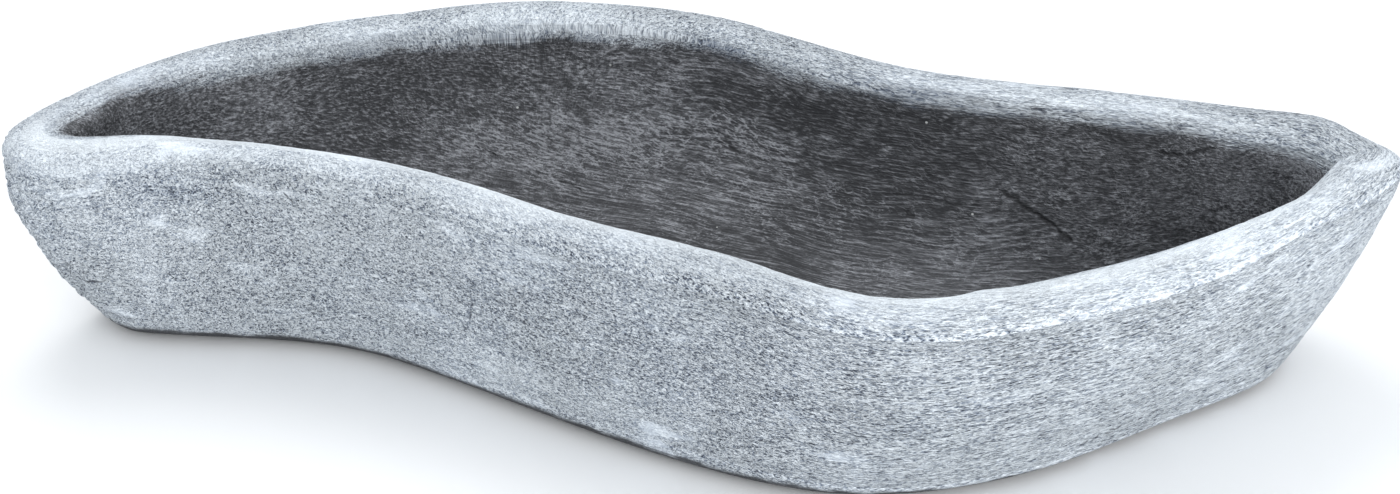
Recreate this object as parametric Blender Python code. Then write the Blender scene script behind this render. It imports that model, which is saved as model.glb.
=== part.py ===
"""A low, S-shaped trough planter in cast stone, with three stoppered drain holes.

The trough is one casting, lofted over ribs that stand round its rim. Each rib joins a point of
the rim outline to a point of the foot outline, and carries how wide and how high the rim is
there. The length lies along X, the height along Z, and the origin is on the ground under the
middle of the rim.
"""

import math

import bmesh
import bpy
import numpy as np

# Overall sizes, in metres
LENGTH = 0.914
WIDTH = 0.422
HEIGHT = 0.160

# Footprint that the walls lean in to, measured before its edge is rounded, and how far its
# middle lies to the left of the rim's
FOOT_LENGTH = 0.810
FOOT_WIDTH = 0.366
FOOT_SHIFT = 0.010

# Rim
RIM_WIDTH = 0.030
CROWN_HEIGHT = 0.011
RIM_DIP = 0.006

# Walls and floor
FLOOR_THICKNESS = 0.042
WALL_AT_FLOOR = 0.020
FOOT_RADIUS = 0.022

# Underside, hollowed a little inside the band that the planter stands on
RELIEF_DEPTH = 0.005

# Drain holes, each with a flat seat sunk into the floor
DRAIN_SPACING = 0.235
DRAIN_RADIUS = 0.012
DRAIN_TAPER = 0.0015
SEAT_DEPTH = 0.003
CUT_OVERRUN = 0.010

# Rubber stoppers that drop into the drains from inside
STOPPER_CLEARANCE = 0.0003
FLANGE_RADIUS = 0.018
FLANGE_THICKNESS = 0.004
FLANGE_MARGIN = 0.003
SHANK_LENGTH = 0.026
STOPPER_EDGE = 0.001
GRIP_RADIUS = 0.0075
GRIP_HEIGHT = 0.013
WELD_DISTANCE = 0.00002

# One row for each rib, anticlockwise from the right tip. Rim x and y are shares of half the
# length and width, and foot x and y shares of half the footprint. Then come the rim's width,
# its dip below the full height and the wall's belly, as shares of the values named here.
RIB_SHARES = (
    (0.998, -0.025, 1.00, -0.01, 1.30, 0.30, 0.90),
    (0.96, 0.07, 0.975, 0.11, 1.05, 0.30, 0.90),
    (0.90, 0.20, 0.93, 0.22, 1.10, 0.30, 1.00),
    (0.80, 0.26, 0.83, 0.29, 1.00, 0.20, 1.00),
    (0.56, 0.37, 0.59, 0.41, 1.00, 0.00, 1.00),
    (0.34, 0.50, 0.37, 0.55, 0.95, 0.15, 1.00),
    (0.14, 0.74, 0.16, 0.79, 0.95, 0.10, 1.00),
    (-0.06, 0.96, -0.05, 0.97, 1.00, 0.15, 1.00),
    (-0.26, 1.00, -0.25, 1.00, 1.05, 0.00, 1.00),
    (-0.48, 0.92, -0.49, 0.90, 1.00, 0.20, 1.00),
    (-0.70, 0.74, -0.70, 0.70, 1.05, 0.00, 1.00),
    (-0.88, 0.48, -0.86, 0.50, 1.15, 0.25, 1.05),
    (-0.98, 0.22, -0.95, 0.36, 1.45, 0.20, 1.20),
    (-1.00, 0.04, -1.00, 0.22, 1.65, 0.00, 1.30),
    (-0.95, -0.08, -0.96, 0.04, 1.45, 0.20, 1.25),
    (-0.79, -0.08, -0.84, -0.04, 1.10, 0.00, 1.10),
    (-0.60, -0.13, -0.63, -0.09, 1.15, 0.20, 1.00),
    (-0.40, -0.29, -0.43, -0.27, 1.20, 0.00, 1.00),
    (-0.18, -0.57, -0.18, -0.61, 1.25, 0.15, 1.00),
    (0.04, -0.81, 0.06, -0.89, 1.25, 0.00, 1.00),
    (0.27, -0.99, 0.30, -1.00, 1.20, 0.60, 1.00),
    (0.47, -0.91, 0.51, -0.90, 1.20, 0.00, 1.00),
    (0.66, -0.71, 0.72, -0.65, 1.10, 0.15, 1.00),
    (0.84, -0.41, 0.90, -0.42, 0.85, 0.00, 0.95),
    (0.962, -0.19, 0.985, -0.23, 1.30, 0.20, 0.90),
)
LEFT_TIP_ROW = 13

# The stopper's grip from its root up, as shares of the grip's radius and height
GRIP_SHARES = ((0.70, 0.00), (0.60, 0.30), (0.85, 0.55), (1.00, 0.75), (0.90, 0.92), (0.60, 1.00))

# The walls lean in by this power of the depth below the rim, and the trough's cross-section is
# a superellipse of this power
LEAN_POWER_SHARE = 1.7
TROUGH_POWER_SHARE = 2.7

# How far from each tip the trough's spine starts, along half the rim
SPINE_END_SHARE = 0.14

# The underside's relief and the last ring of the floor, counted from the spine to the edge
RELIEF_SHARE = 0.60
RELIEF_TOP_SHARE = 0.55
LAST_FLOOR_RING_SHARE = 0.12

# Mesh counts
RIB_COUNT = 112
SPLINE_STEPS = 24
CROWN_STEPS = 8
WALL_STEPS = 7
FOOT_STEPS = 4
TROUGH_STEPS = 12
ROUND_SIDES = 32
SHARP_ANGLE = math.radians(40)


def closed_spline(rows, steps):
    """A smooth closed curve through the rows, as steps points from each row to the next."""
    rows = np.array(rows, float)
    count = len(rows)
    following = np.roll(rows, -1, axis=0)
    spans = np.linalg.norm((following - rows)[:, :2], axis=1)
    before = np.roll(spans, 1)
    matrix = np.zeros((count, count))
    right = np.zeros_like(rows)
    for i in range(count):
        matrix[i, i - 1] = before[i]
        matrix[i, i] = 2 * (before[i] + spans[i])
        matrix[i, (i + 1) % count] = spans[i]
        rise_after = (following[i] - rows[i]) / spans[i]
        rise_before = (rows[i] - rows[i - 1]) / before[i]
        right[i] = 6 * (rise_after - rise_before)
    bends = np.linalg.solve(matrix, right)
    points = []
    for i in range(count):
        start, end = rows[i], following[i]
        bend_start, bend_end = bends[i], bends[(i + 1) % count]
        for step in range(steps):
            far = step / steps
            near = 1 - far
            curve = (near**3 - near) * bend_start + (far**3 - far) * bend_end
            points.append(near * start + far * end + curve * spans[i] ** 2 / 6)
    return np.array(points)


def even_stations(points, count):
    """The points of an open run, spaced evenly along its first two columns."""
    lengths = np.linalg.norm(np.diff(points[:, :2], axis=0), axis=1)
    travelled = np.concatenate([[0], np.cumsum(lengths)])
    wanted = np.linspace(0, travelled[-1], count, endpoint=False)
    return np.stack([np.interp(wanted, travelled, column) for column in points.T], axis=1)


def fitted(outline, length, width):
    """The outline stretched and centred to the given size along X and Y."""
    low, high = outline.min(axis=0), outline.max(axis=0)
    return (outline - (low + high) / 2) * (length, width) / (high - low)


def rib_stations():
    """Rim outline, foot outline, rim widths, rim tops and lean powers at even stations."""
    curve = closed_spline(RIB_SHARES, SPLINE_STEPS)
    turn = LEFT_TIP_ROW * SPLINE_STEPS
    back = even_stations(curve[: turn + 1], RIB_COUNT // 2)
    front = even_stations(np.vstack([curve[turn:], curve[:1]]), RIB_COUNT // 2)
    stations = np.vstack([back, front])
    rim = fitted(stations[:, 0:2], LENGTH, WIDTH)
    foot = fitted(stations[:, 2:4], FOOT_LENGTH, FOOT_WIDTH) - (FOOT_SHIFT, 0)
    dips = stations[:, 5] - stations[:, 5].min()
    widths = RIM_WIDTH * stations[:, 4]
    return rim, foot, widths, HEIGHT - RIM_DIP * dips, LEAN_POWER_SHARE * stations[:, 6]


def inward_normals(outline):
    """Unit normals that point into a closed outline walked anticlockwise."""
    along = np.roll(outline, -1, axis=0) - np.roll(outline, 1, axis=0)
    normals = np.stack([-along[:, 1], along[:, 0]], axis=1)
    return normals / np.linalg.norm(normals, axis=1)[:, None]


def inward_steps(outline, spine):
    """Unit steps into the outline, halfway between square to it and straight at the spine."""
    towards = spine - outline
    towards = towards / np.linalg.norm(towards, axis=1)[:, None]
    steps = inward_normals(outline) + towards
    return steps / np.linalg.norm(steps, axis=1)[:, None]


def with_height(outline, heights):
    """Ring of 3D points from an outline and its height or heights."""
    return np.column_stack([outline, np.broadcast_to(heights, len(outline))])


def spine_of(outline):
    """The trough's middle line: for each rib, halfway to the rib across from it."""
    count = len(outline)
    end = round(SPINE_END_SHARE * count / 2)
    points = []
    for i in range(count):
        rib = min(i, count - i)
        rib = min(max(rib, end), count // 2 - end)
        points.append((outline[rib] + outline[-rib]) / 2)
    return np.array(points)


def crown_rings(rim, widths, tops):
    """The rim's rounded top, from its outer shoulder to its inner one."""
    inward = inward_steps(rim, spine_of(rim))
    rings = []
    for step in range(CROWN_STEPS + 1):
        angle = math.pi * step / CROWN_STEPS
        across = (1 - math.cos(angle)) / 2
        outline = rim + inward * (widths * across)[:, None]
        rings.append(with_height(outline, tops - CROWN_HEIGHT * (1 - math.sin(angle))))
    return rings


def outer_rings(rim, foot, tops, powers):
    """The outer wall from the foot up, with the foot's rounding first."""
    shoulders = tops - CROWN_HEIGHT
    normals = inward_normals(foot)
    inset = np.sum((foot - rim) * normals, axis=1)
    lean = np.arctan2(powers * inset, shoulders - FOOT_RADIUS)
    lowest = FOOT_RADIUS * (1 - np.sin(lean))
    rings = []
    for step in range(FOOT_STEPS):
        angle = lean + (math.pi / 2 - lean) * (1 - step / FOOT_STEPS)
        reach = FOOT_RADIUS * (np.cos(lean) - np.cos(angle))
        rings.append(with_height(foot + normals * reach[:, None], FOOT_RADIUS * (1 - np.sin(angle))))
    for step in range(WALL_STEPS):
        depth = 1 - step / WALL_STEPS
        outline = rim + (foot - rim) * (depth**powers)[:, None]
        rings.append(with_height(outline, shoulders + (lowest - shoulders) * depth))
    return rings


def floor_outline(foot):
    """Where the trough's wall would meet the level of the floor, if it had no rounding."""
    return foot + inward_steps(foot, spine_of(foot)) * WALL_AT_FLOOR


def trough_rings(rim, foot, widths, tops, powers):
    """The hollow, from the inner shoulder of the rim down to the floor's middle line."""
    mouth = rim + inward_steps(rim, spine_of(rim)) * widths[:, None]
    base = floor_outline(foot)
    spine = spine_of(base)
    shoulders = tops - CROWN_HEIGHT
    rings = []
    for step in range(1, TROUGH_STEPS + 1):
        angle = math.pi / 2 * step / TROUGH_STEPS
        depth = math.sin(angle) ** (2 / TROUGH_POWER_SHARE)
        spread = max(math.cos(angle), 0) ** (2 / TROUGH_POWER_SHARE)
        spread = LAST_FLOOR_RING_SHARE + (1 - LAST_FLOOR_RING_SHARE) * spread
        wall = mouth + (base - mouth) * (depth**powers)[:, None]
        outline = spine + (wall - spine) * spread
        rings.append(with_height(outline, shoulders + (FLOOR_THICKNESS - shoulders) * depth))
    return rings


def underside_rings(foot_ring):
    """The relief under the foot, from its middle out to the standing band's inner edge."""
    edge = foot_ring[:, :2]
    spine = spine_of(edge)
    band = spine + (edge - spine) * RELIEF_SHARE
    relief = spine + (edge - spine) * RELIEF_TOP_SHARE
    return [with_height(relief, RELIEF_DEPTH), with_height(band, 0)]


def close_ring(bm, ring, facing_up):
    """Closes a long ring with faces between ribs that lie across from each other."""
    faces = []
    for i in range(len(ring) // 2):
        corners = list(dict.fromkeys((ring[i], ring[i + 1], ring[-i - 1], ring[-i])))
        faces.append(bm.faces.new(corners if facing_up else corners[::-1]))
    return faces


def loft(rings, mouth_row):
    """One closed skin over rings that run from the underside, up the wall and into the trough.

    Faces past the row of the trough's mouth take the second material.
    """
    bm = bmesh.new()
    loops = [[bm.verts.new(point) for point in ring] for ring in rings]
    for row, (lower, upper) in enumerate(zip(loops, loops[1:])):
        for i in range(len(lower)):
            j = (i + 1) % len(lower)
            face = bm.faces.new((lower[i], lower[j], upper[j], upper[i]))
            face.material_index = int(row >= mouth_row)
    close_ring(bm, loops[0], False)
    for face in close_ring(bm, loops[-1], True):
        face.material_index = 1
    return bm


def turned(profile):
    """A solid turned about Z from a profile of (radius, height) pairs that starts and ends on Z."""
    bm = bmesh.new()
    points = [bm.verts.new((radius, 0, height)) for radius, height in profile]
    edges = [bm.edges.new(pair) for pair in zip(points, points[1:])]
    bmesh.ops.spin(
        bm, geom=points + edges, cent=(0, 0, 0), axis=(0, 0, 1), angle=2 * math.pi,
        steps=ROUND_SIDES, use_merge=True,
    )
    bmesh.ops.remove_doubles(bm, verts=bm.verts, dist=WELD_DISTANCE)
    bmesh.ops.recalc_face_normals(bm, faces=bm.faces)
    return bm


def material(name, colour, roughness):
    """A Principled BSDF material of one plain colour."""
    made = bpy.data.materials.new(name)
    made.use_nodes = True
    shader = made.node_tree.nodes["Principled BSDF"]
    shader.inputs["Base Color"].default_value = (*colour, 1)
    shader.inputs["Roughness"].default_value = roughness
    shader.inputs["Metallic"].default_value = 0
    return made


def add_object(name, bm, *finishes):
    """Puts a finished bmesh in the scene as a smooth-shaded object."""
    mesh = bpy.data.meshes.new(name)
    bm.to_mesh(mesh)
    bm.free()
    for finish in finishes:
        mesh.materials.append(finish)
    mesh.shade_smooth()
    mesh.set_sharp_from_angle(angle=SHARP_ANGLE)
    obj = bpy.data.objects.new(name, mesh)
    bpy.context.scene.collection.objects.link(obj)
    return obj


def drain_places():
    """Name, x and y of each drain on the trough's middle line, from left to right."""
    foot = rib_stations()[1]
    spine = spine_of(floor_outline(foot))[RIB_COUNT // 2 :]
    order = np.argsort(spine[:, 0])
    line = spine[order]
    places = []
    for name, x in (("left", -DRAIN_SPACING), ("middle", 0), ("right", DRAIN_SPACING)):
        places.append((name, x, float(np.interp(x, line[:, 0], line[:, 1]))))
    return places


def seat_height():
    """Height of the flat seats, below the floor by the depth they are sunk."""
    return FLOOR_THICKNESS - SEAT_DEPTH


def drain_radius(depth):
    """Radius of a drain hole at a depth below its seat, as it narrows towards the underside."""
    return DRAIN_RADIUS - DRAIN_TAPER * depth / seat_height()


def drain_cutter(name, x, y):
    """A drain hole and the round seat above it, as one cutter."""
    seat_radius = FLANGE_RADIUS + FLANGE_MARGIN
    bottom = -seat_height() - CUT_OVERRUN
    top = SEAT_DEPTH + CUT_OVERRUN
    profile = (
        (0, bottom),
        (drain_radius(-bottom), bottom),
        (drain_radius(0), 0),
        (seat_radius, 0),
        (seat_radius, top),
        (0, top),
    )
    cutter = add_object(f"drain_cutter_{name}", turned(profile))
    cutter.location = (x, y, seat_height())
    cutter.hide_render = True
    cutter.display_type = "WIRE"
    return cutter


def planter_body(outside, inside):
    """The casting, with its drain holes cut."""
    rim, foot, widths, tops, powers = rib_stations()
    wall = outer_rings(rim, foot, tops, powers)
    shell = underside_rings(wall[0]) + wall + crown_rings(rim, widths, tops)
    trough = trough_rings(rim, foot, widths, tops, powers)
    skin = loft(shell + trough, len(shell) - 1)
    body = add_object("planter_body", skin, outside, inside)
    for name, x, y in drain_places():
        hole = body.modifiers.new(f"drain_{name}", "BOOLEAN")
        hole.operation = "DIFFERENCE"
        hole.solver = "EXACT"
        hole.object = drain_cutter(name, x, y)
    return body


def stopper_profile():
    """The stopper from its tip up to its grip, with heights counted from the flange's underside."""
    tip = drain_radius(SHANK_LENGTH) - STOPPER_CLEARANCE
    root = drain_radius(0) - STOPPER_CLEARANCE
    points = [
        (0, -SHANK_LENGTH),
        (tip - STOPPER_EDGE, -SHANK_LENGTH),
        (tip, STOPPER_EDGE - SHANK_LENGTH),
        (root, 0),
        (FLANGE_RADIUS - STOPPER_EDGE, 0),
        (FLANGE_RADIUS, STOPPER_EDGE),
        (FLANGE_RADIUS, FLANGE_THICKNESS - STOPPER_EDGE),
        (FLANGE_RADIUS - STOPPER_EDGE, FLANGE_THICKNESS),
    ]
    for radius, height in GRIP_SHARES:
        points.append((GRIP_RADIUS * radius, FLANGE_THICKNESS + GRIP_HEIGHT * height))
    return points + [(0, FLANGE_THICKNESS + GRIP_HEIGHT)]


def drain_stoppers(rubber):
    """One stopper in each drain, with its origin on the drain's axis at the seat."""
    for name, x, y in drain_places():
        stopper = add_object(f"drain_stopper_{name}", turned(stopper_profile()), rubber)
        stopper.location = (x, y, seat_height() + STOPPER_CLEARANCE)


def main():
    for obj in list(bpy.data.objects):
        bpy.data.objects.remove(obj)
    outside = material("whitewashed_stone", (0.46, 0.52, 0.60), 0.9)
    inside = material("charcoal_stone", (0.075, 0.078, 0.088), 0.85)
    planter_body(outside, inside)
    drain_stoppers(material("black_rubber", (0.02, 0.02, 0.022), 0.6))


if __name__ == "__main__":
    main()
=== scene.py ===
"""Looks of the S-shaped cast stone trough planter, laid out as an add-on.

The casting gets its trowelled and weathered surface from the CAD solid, and then a whitewash
outside and bare charcoal stone inside. The rubber stoppers in its drains get a finer shape.
"""

import heapq
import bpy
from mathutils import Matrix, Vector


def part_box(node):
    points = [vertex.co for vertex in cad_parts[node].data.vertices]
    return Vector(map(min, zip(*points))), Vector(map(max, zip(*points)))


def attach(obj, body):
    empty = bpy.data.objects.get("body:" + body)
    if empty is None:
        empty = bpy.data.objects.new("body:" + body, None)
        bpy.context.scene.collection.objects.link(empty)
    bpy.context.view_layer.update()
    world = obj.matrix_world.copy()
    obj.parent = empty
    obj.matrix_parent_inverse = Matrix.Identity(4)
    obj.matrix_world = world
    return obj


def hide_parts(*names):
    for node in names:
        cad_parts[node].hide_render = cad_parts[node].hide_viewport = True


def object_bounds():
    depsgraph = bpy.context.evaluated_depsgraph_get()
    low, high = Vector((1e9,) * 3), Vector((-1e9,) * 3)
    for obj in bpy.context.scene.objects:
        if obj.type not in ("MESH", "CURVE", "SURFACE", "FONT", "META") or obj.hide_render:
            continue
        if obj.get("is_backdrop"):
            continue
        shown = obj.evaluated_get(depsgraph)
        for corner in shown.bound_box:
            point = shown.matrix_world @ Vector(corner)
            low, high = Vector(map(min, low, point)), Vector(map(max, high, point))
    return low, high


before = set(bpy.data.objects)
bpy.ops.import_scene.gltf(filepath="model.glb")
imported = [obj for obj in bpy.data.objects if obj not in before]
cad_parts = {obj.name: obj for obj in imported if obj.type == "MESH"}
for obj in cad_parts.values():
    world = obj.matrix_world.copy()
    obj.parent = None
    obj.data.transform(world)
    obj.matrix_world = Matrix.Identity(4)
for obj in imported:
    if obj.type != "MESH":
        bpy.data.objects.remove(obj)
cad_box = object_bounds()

import inspect
import math
from types import SimpleNamespace

import bmesh
import bpy
import numpy as np
from bpy.props import FloatProperty, FloatVectorProperty, IntProperty, PointerProperty
from bpy.types import Operator, Panel, PropertyGroup
from mathutils import Vector, kdtree
from mathutils.noise import noise

bl_info = {
    "name": "Cast stone trough planter",
    "version": (1, 0, 0),
    "blender": (4, 5, 0),
    "location": "3D View > Sidebar > Planter",
    "description": "Shapes and finishes an S-shaped trough planter of whitewashed cast stone",
    "category": "Object",
}

STOPPERS = ("left", "middle", "right")
WELD_DISTANCE = 0.00002
PAIRING_ANGLE = math.radians(80)
CREASE_ANGLE = math.radians(50)
CREST_SLOPE = 0.99
FITTING_ROUNDS = 3
NUDGE = 0.0001
RING_STEPS = 2400
RING_GAP = 0.06
RING_SMOOTHING = (20, 14, 9, 5)
SPINE_POINTS = 32
SEAT_CHAMFER = 0.0006
CUTTER_OVERSHOOT = 0.01
CUTTER_SIDES = 64
STOPPER_SHARP_ANGLE = math.radians(45)
BEVEL_ANGLE = math.radians(38)
# Faces with an X below the first and a Z above the second number are divided once more
FINER_ZONES = ((-0.392, 0.006), (-0.411, 0.012))
# What the casting's points carry, with its kind, its field and how many numbers it takes
ATTRIBUTES = {
    "across": ("FLOAT", "value", 1),
    "flow": ("FLOAT_VECTOR", "vector", 3),
    "ring": ("FLOAT_VECTOR", "vector", 3),
}
FLOOR_REACH = 15
SENSOR_WIDTH = 36
CLIP_DISTANCE = 100
VIEW_CENTRE = (0, -0.005, 0.0793)
# The size of each soft light, its place and what it's turned to
OVERHEAD_LIGHT = (1.2, (-0.35, 0.9, 1.9), (0, 0, 0.05))
SIDE_LIGHT = (1.6, (1.3, -1.9, 0.9), (0, 0, 0.08))
# Centre and reach of places where the skin swells or sinks, and by how much
SWELLS = (
    ((0.168, -0.183, 0.157), 0.022, 0.0016),
    ((0.130, -0.203, 0.154), 0.020, -0.0010),
    ((-0.442, -0.006, 0.112), 0.036, 0.0034),
    ((-0.270, -0.030, 0.100), 0.040, -0.0012),
    ((0.020, 0.145, 0.085), 0.035, 0.0016),
    ((-0.075, 0.150, 0.085), 0.040, 0.0014),
    ((0.235, 0.045, 0.066), 0.022, -0.0014),
    ((0.245, -0.150, 0.027), 0.026, -0.0016),
)


def length(label, text, metres, least=0):
    """A size property in metres."""
    return FloatProperty(
        name=label, description=text, default=metres, min=least, unit="LENGTH", precision=4
    )


def share(label, text, value, most=1):
    """A plain number property from nought up."""
    return FloatProperty(name=label, description=text, default=value, min=0, max=most)


def count(label, text, number, least, most):
    """A property that counts something."""
    return IntProperty(name=label, description=text, default=number, min=least, max=most)


def colour(label, text, red, green, blue):
    """A colour property."""
    return FloatVectorProperty(
        name=label, description=text, default=(red, green, blue), min=0, max=1,
        size=3, subtype="COLOR",
    )


class CastingShape(PropertyGroup):
    levels: count("Smoothing levels", "How often the casting's faces are divided", 2, 1, 3)
    lumps: length("Lumps", "Height of the broad unevenness of the walls", 0.0011)
    strokes: length("Trowel strokes", "Height of the long strokes along the walls", 0.0007)
    stroke_length: length("Stroke length", "How long a trowel stroke runs", 0.13, 0.001)
    stroke_width: length("Stroke width", "How wide a trowel stroke is", 0.017, 0.001)
    ridges: length("Inner ridges", "Height of the wavy ridges inside the trough", 0.0013)
    rim_waves: length("Rim waves", "How far the rim strays from an even line", 0.0012)
    rim_chips: length("Rim chips", "Depth of the small chips along the rim", 0.0006)
    swelling: share("Swellings", "How strongly the skin swells and sinks in places", 1, 3)
    tip_inset: length("Tip inset", "How far the right tip is drawn in", 0.0033)
    tip_raggedness: length("Ragged tip", "Roughness of the left tip's outer face", 0.0024)
    drain_radius: length("Drain radius", "Radius of a drain hole at its seat", 0.012)
    drain_taper: length("Drain taper", "How much a drain narrows down to the underside", 0.0015)
    seat_radius: length("Seat radius", "Radius of the flat seat round a drain", 0.021)
    seat_height: length("Seat height", "Height of the seat above the ground", 0.039)
    floor_height: length("Floor height", "Height of the trough's floor", 0.042)
    relief_height: length("Relief height", "Height of the hollow under the casting", 0.005)
    calm_radius: length("Calm radius", "How far round a drain the floor stays even", 0.034)


class CoatLook(PropertyGroup):
    paint: colour("Whitewash", "Colour of the whitewash where it is thick", 0.885, 0.945, 1)
    thin_paint: colour("Thin whitewash", "Stone seen through the whitewash", 0.225, 0.275, 0.365)
    pit: colour("Pits", "Stone at the bottom of the coat's pits", 0.065, 0.075, 0.10)
    # The foot colour stands for painted shade under the rounded foot, and partly for stone left
    # bare.
    foot: colour("Foot", "Stone left bare along the ground", 0.085, 0.09, 0.10)
    lip_reach: length("Reach over the lip", "How far the coat reaches into the trough", 0.024)
    shift: length("Shift", "How unevenly the coat's edge lies along the trough", 0.02)
    speckle: length("Speckle", "Size of the grain in the coat", 0.0012, 0.0002)
    stroke_length: length("Brush length", "Length of a brush stroke in the coat", 0.034, 0.001)
    stroke_width: length("Brush width", "Width of a brush stroke in the coat", 0.0026, 0.0002)
    roughness: share("Roughness", "Roughness of the whitewash", 0.72)
    bump: length("Relief", "Height of the coat's grain", 0.0009)


class StoneLook(PropertyGroup):
    dark: colour("Charcoal", "Darkest tone of the bare stone inside", 0.039, 0.040, 0.044)
    light: colour("Worn charcoal", "Lightest tone of the bare stone inside", 0.42, 0.43, 0.46)
    speck: colour("Specks", "Lime specks in the stone", 0.62, 0.63, 0.62)
    stroke_length: length("Stroke length", "Length of a stroke in the stone", 0.026, 0.001)
    stroke_width: length("Stroke width", "Width of a stroke in the stone", 0.0014, 0.0002)
    roughness: share("Roughness", "Roughness of the bare stone", 0.62)
    bump: length("Relief", "Height of the stone's grain", 0.0011)


class StopperShape(PropertyGroup):
    sides: count("Sides", "Steps round a stopper", 96, 24, 192)
    flange_radius: length("Flange radius", "Radius of the flange on the seat", 0.018)
    flange_thickness: length("Flange thickness", "Thickness of the flange", 0.004)
    shank_length: length("Shank length", "How far the stopper reaches down the drain", 0.026)
    shank_root: length("Shank radius", "Radius of the shank under the flange", 0.0117)
    shank_tip: length("Tip radius", "Radius of the shank at its lower end", 0.0107)
    grip_radius: length("Grip radius", "Radius of the grip at its widest", 0.0075)
    grip_height: length("Grip height", "Height of the grip above the flange", 0.013)
    edge: length("Edge rounding", "Rounding of the stopper's edges", 0.0005)
    flutes: count("Flutes", "Finger flutes round the grip", 12, 0, 24)
    flute_depth: length("Flute depth", "Depth of the finger flutes", 0.0005)


class RubberLook(PropertyGroup):
    rubber: colour("Rubber", "Colour of the rubber", 0.014, 0.014, 0.016)
    bloom: colour("Bloom", "Chalky bloom and dust on the rubber", 0.085, 0.085, 0.09)
    roughness: share("Roughness", "Roughness of the clean rubber", 0.46)
    grain: length("Grain", "Size of the moulded grain", 0.0006, 0.0001)
    bump: length("Relief", "Height of the moulded grain", 0.00008)


class StageLook(PropertyGroup):
    floor: colour("Floor", "Colour of the floor", 0.985, 0.985, 0.985)
    sky: colour("Sky", "Colour of the soft light all round", 0.93, 0.965, 1)
    sky_strength: share("Sky strength", "Strength of the light all round", 0.93, 5)
    key_power: share("Overhead light", "Watts of the soft light overhead", 14, 1000)
    fill_power: share("Side light", "Watts of the soft light from the right", 21, 1000)
    elevation: FloatProperty(
        name="Camera elevation", description="Angle of the camera above the horizon",
        default=math.radians(32), unit="ROTATION",
    )
    distance: length("Camera distance", "From the camera to what it looks at", 1.6, 0.1)
    view_width: length("View width", "Width of what the camera sees at that distance", 0.9315, 0.1)


GROUPS = {
    "planter_casting": CastingShape,
    "planter_coat": CoatLook,
    "planter_stone": StoneLook,
    "planter_stopper": StopperShape,
    "planter_rubber": RubberLook,
    "planter_stage": StageLook,
}


# Shaping


def ramp(value, low, high):
    """Rises smoothly from 0 at low to 1 at high."""
    t = min(max((value - low) / (high - low), 0.0), 1.0)
    return t * t * (3 - 2 * t)


def in_strokes(point, long, deep, wide):
    """The point measured in strokes of the given sizes along X, Y and Z."""
    return Vector((point.x / long, point.y / deep, point.z / wide))


def drain_axes():
    """X and Y of each drain, taken from its stopper."""
    axes = []
    for side in STOPPERS:
        low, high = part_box(f"drain_stopper_{side}")
        axes.append(((low + high) / 2).xy)
    return axes


def drain_distance(point, axes):
    """Level distance from a point to the nearest drain's axis."""
    return min((point.xy - axis).length for axis in axes)


def cad_copy(node):
    """A copy of a CAD node's mesh, merged and paired back into four-sided faces."""
    bm = bmesh.new()
    bm.from_mesh(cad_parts[node].data)
    bmesh.ops.remove_doubles(bm, verts=bm.verts, dist=WELD_DISTANCE)
    bmesh.ops.join_triangles(
        bm, faces=bm.faces, angle_face_threshold=PAIRING_ANGLE,
        angle_shape_threshold=PAIRING_ANGLE,
    )
    return bm


def close_drains(bm, axes, shape):
    """Takes the drains out of the mesh and closes the floor and the underside."""
    reach = shape.seat_radius + NUDGE
    cut = [
        face for face in bm.faces
        if face.calc_center_median().z < shape.floor_height + NUDGE
        and min(drain_distance(vert.co, axes) for vert in face.verts) < reach
    ]
    bmesh.ops.delete(bm, geom=cut, context="FACES")
    edges = [edge for edge in bm.edges if edge.is_boundary]
    bmesh.ops.holes_fill(bm, edges=edges, sides=0)
    loose = [vert for vert in bm.verts if not vert.link_faces]
    bmesh.ops.delete(bm, geom=loose, context="VERTS")
    bmesh.ops.recalc_face_normals(bm, faces=bm.faces)
    crease = bm.edges.layers.float.new("crease_edge")
    for edge in bm.edges:
        under = max(vert.co.z for vert in edge.verts) < 2 * shape.relief_height
        edge[crease] = float(under and edge.calc_face_angle() > CREASE_ANGLE)


def measure_across(bm):
    """Stores each vertex's way over the surface to the rim's crest, negative outside."""
    layer = bm.verts.layers.float.new("across")
    bm.normal_update()
    top = max(vert.co.z for vert in bm.verts)
    crest = {v for v in bm.verts if v.normal.z > CREST_SLOPE and v.co.z > 0.9 * top}
    far = {vert: 0.0 for vert in crest}
    queue = [(0.0, vert.index, vert) for vert in crest]
    heapq.heapify(queue)
    while queue:
        way, _, vert = heapq.heappop(queue)
        if way > far[vert]:
            continue
        for edge in vert.link_edges:
            other = edge.other_vert(vert)
            reached = way + edge.calc_length()
            if reached < far.get(other, math.inf):
                far[other] = reached
                heapq.heappush(queue, (reached, other.index, other))
    lowest = min(bm.verts, key=lambda v: v.co.z)
    outside = {lowest}
    front = [lowest]
    while front:
        vert = front.pop()
        for edge in vert.link_edges:
            other = edge.other_vert(vert)
            if other not in outside and other not in crest:
                outside.add(other)
                front.append(other)
    if len(outside) + len(crest) == len(bm.verts):
        raise ValueError("the rim's crest doesn't part the trough from the outside")
    for vert in bm.verts:
        vert[layer] = -far[vert] if vert in outside else far[vert]


def numbers(items, field, parts=3):
    """What items hold in a field, as an array with a row for each."""
    values = np.empty(len(items) * parts)
    items.foreach_get(field, values)
    return values.reshape(-1, parts)


def evaluated(obj):
    """The object's mesh as its modifiers leave it."""
    graph = bpy.context.evaluated_depsgraph_get()
    return bpy.data.meshes.new_from_object(obj.evaluated_get(graph), depsgraph=graph)


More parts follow.
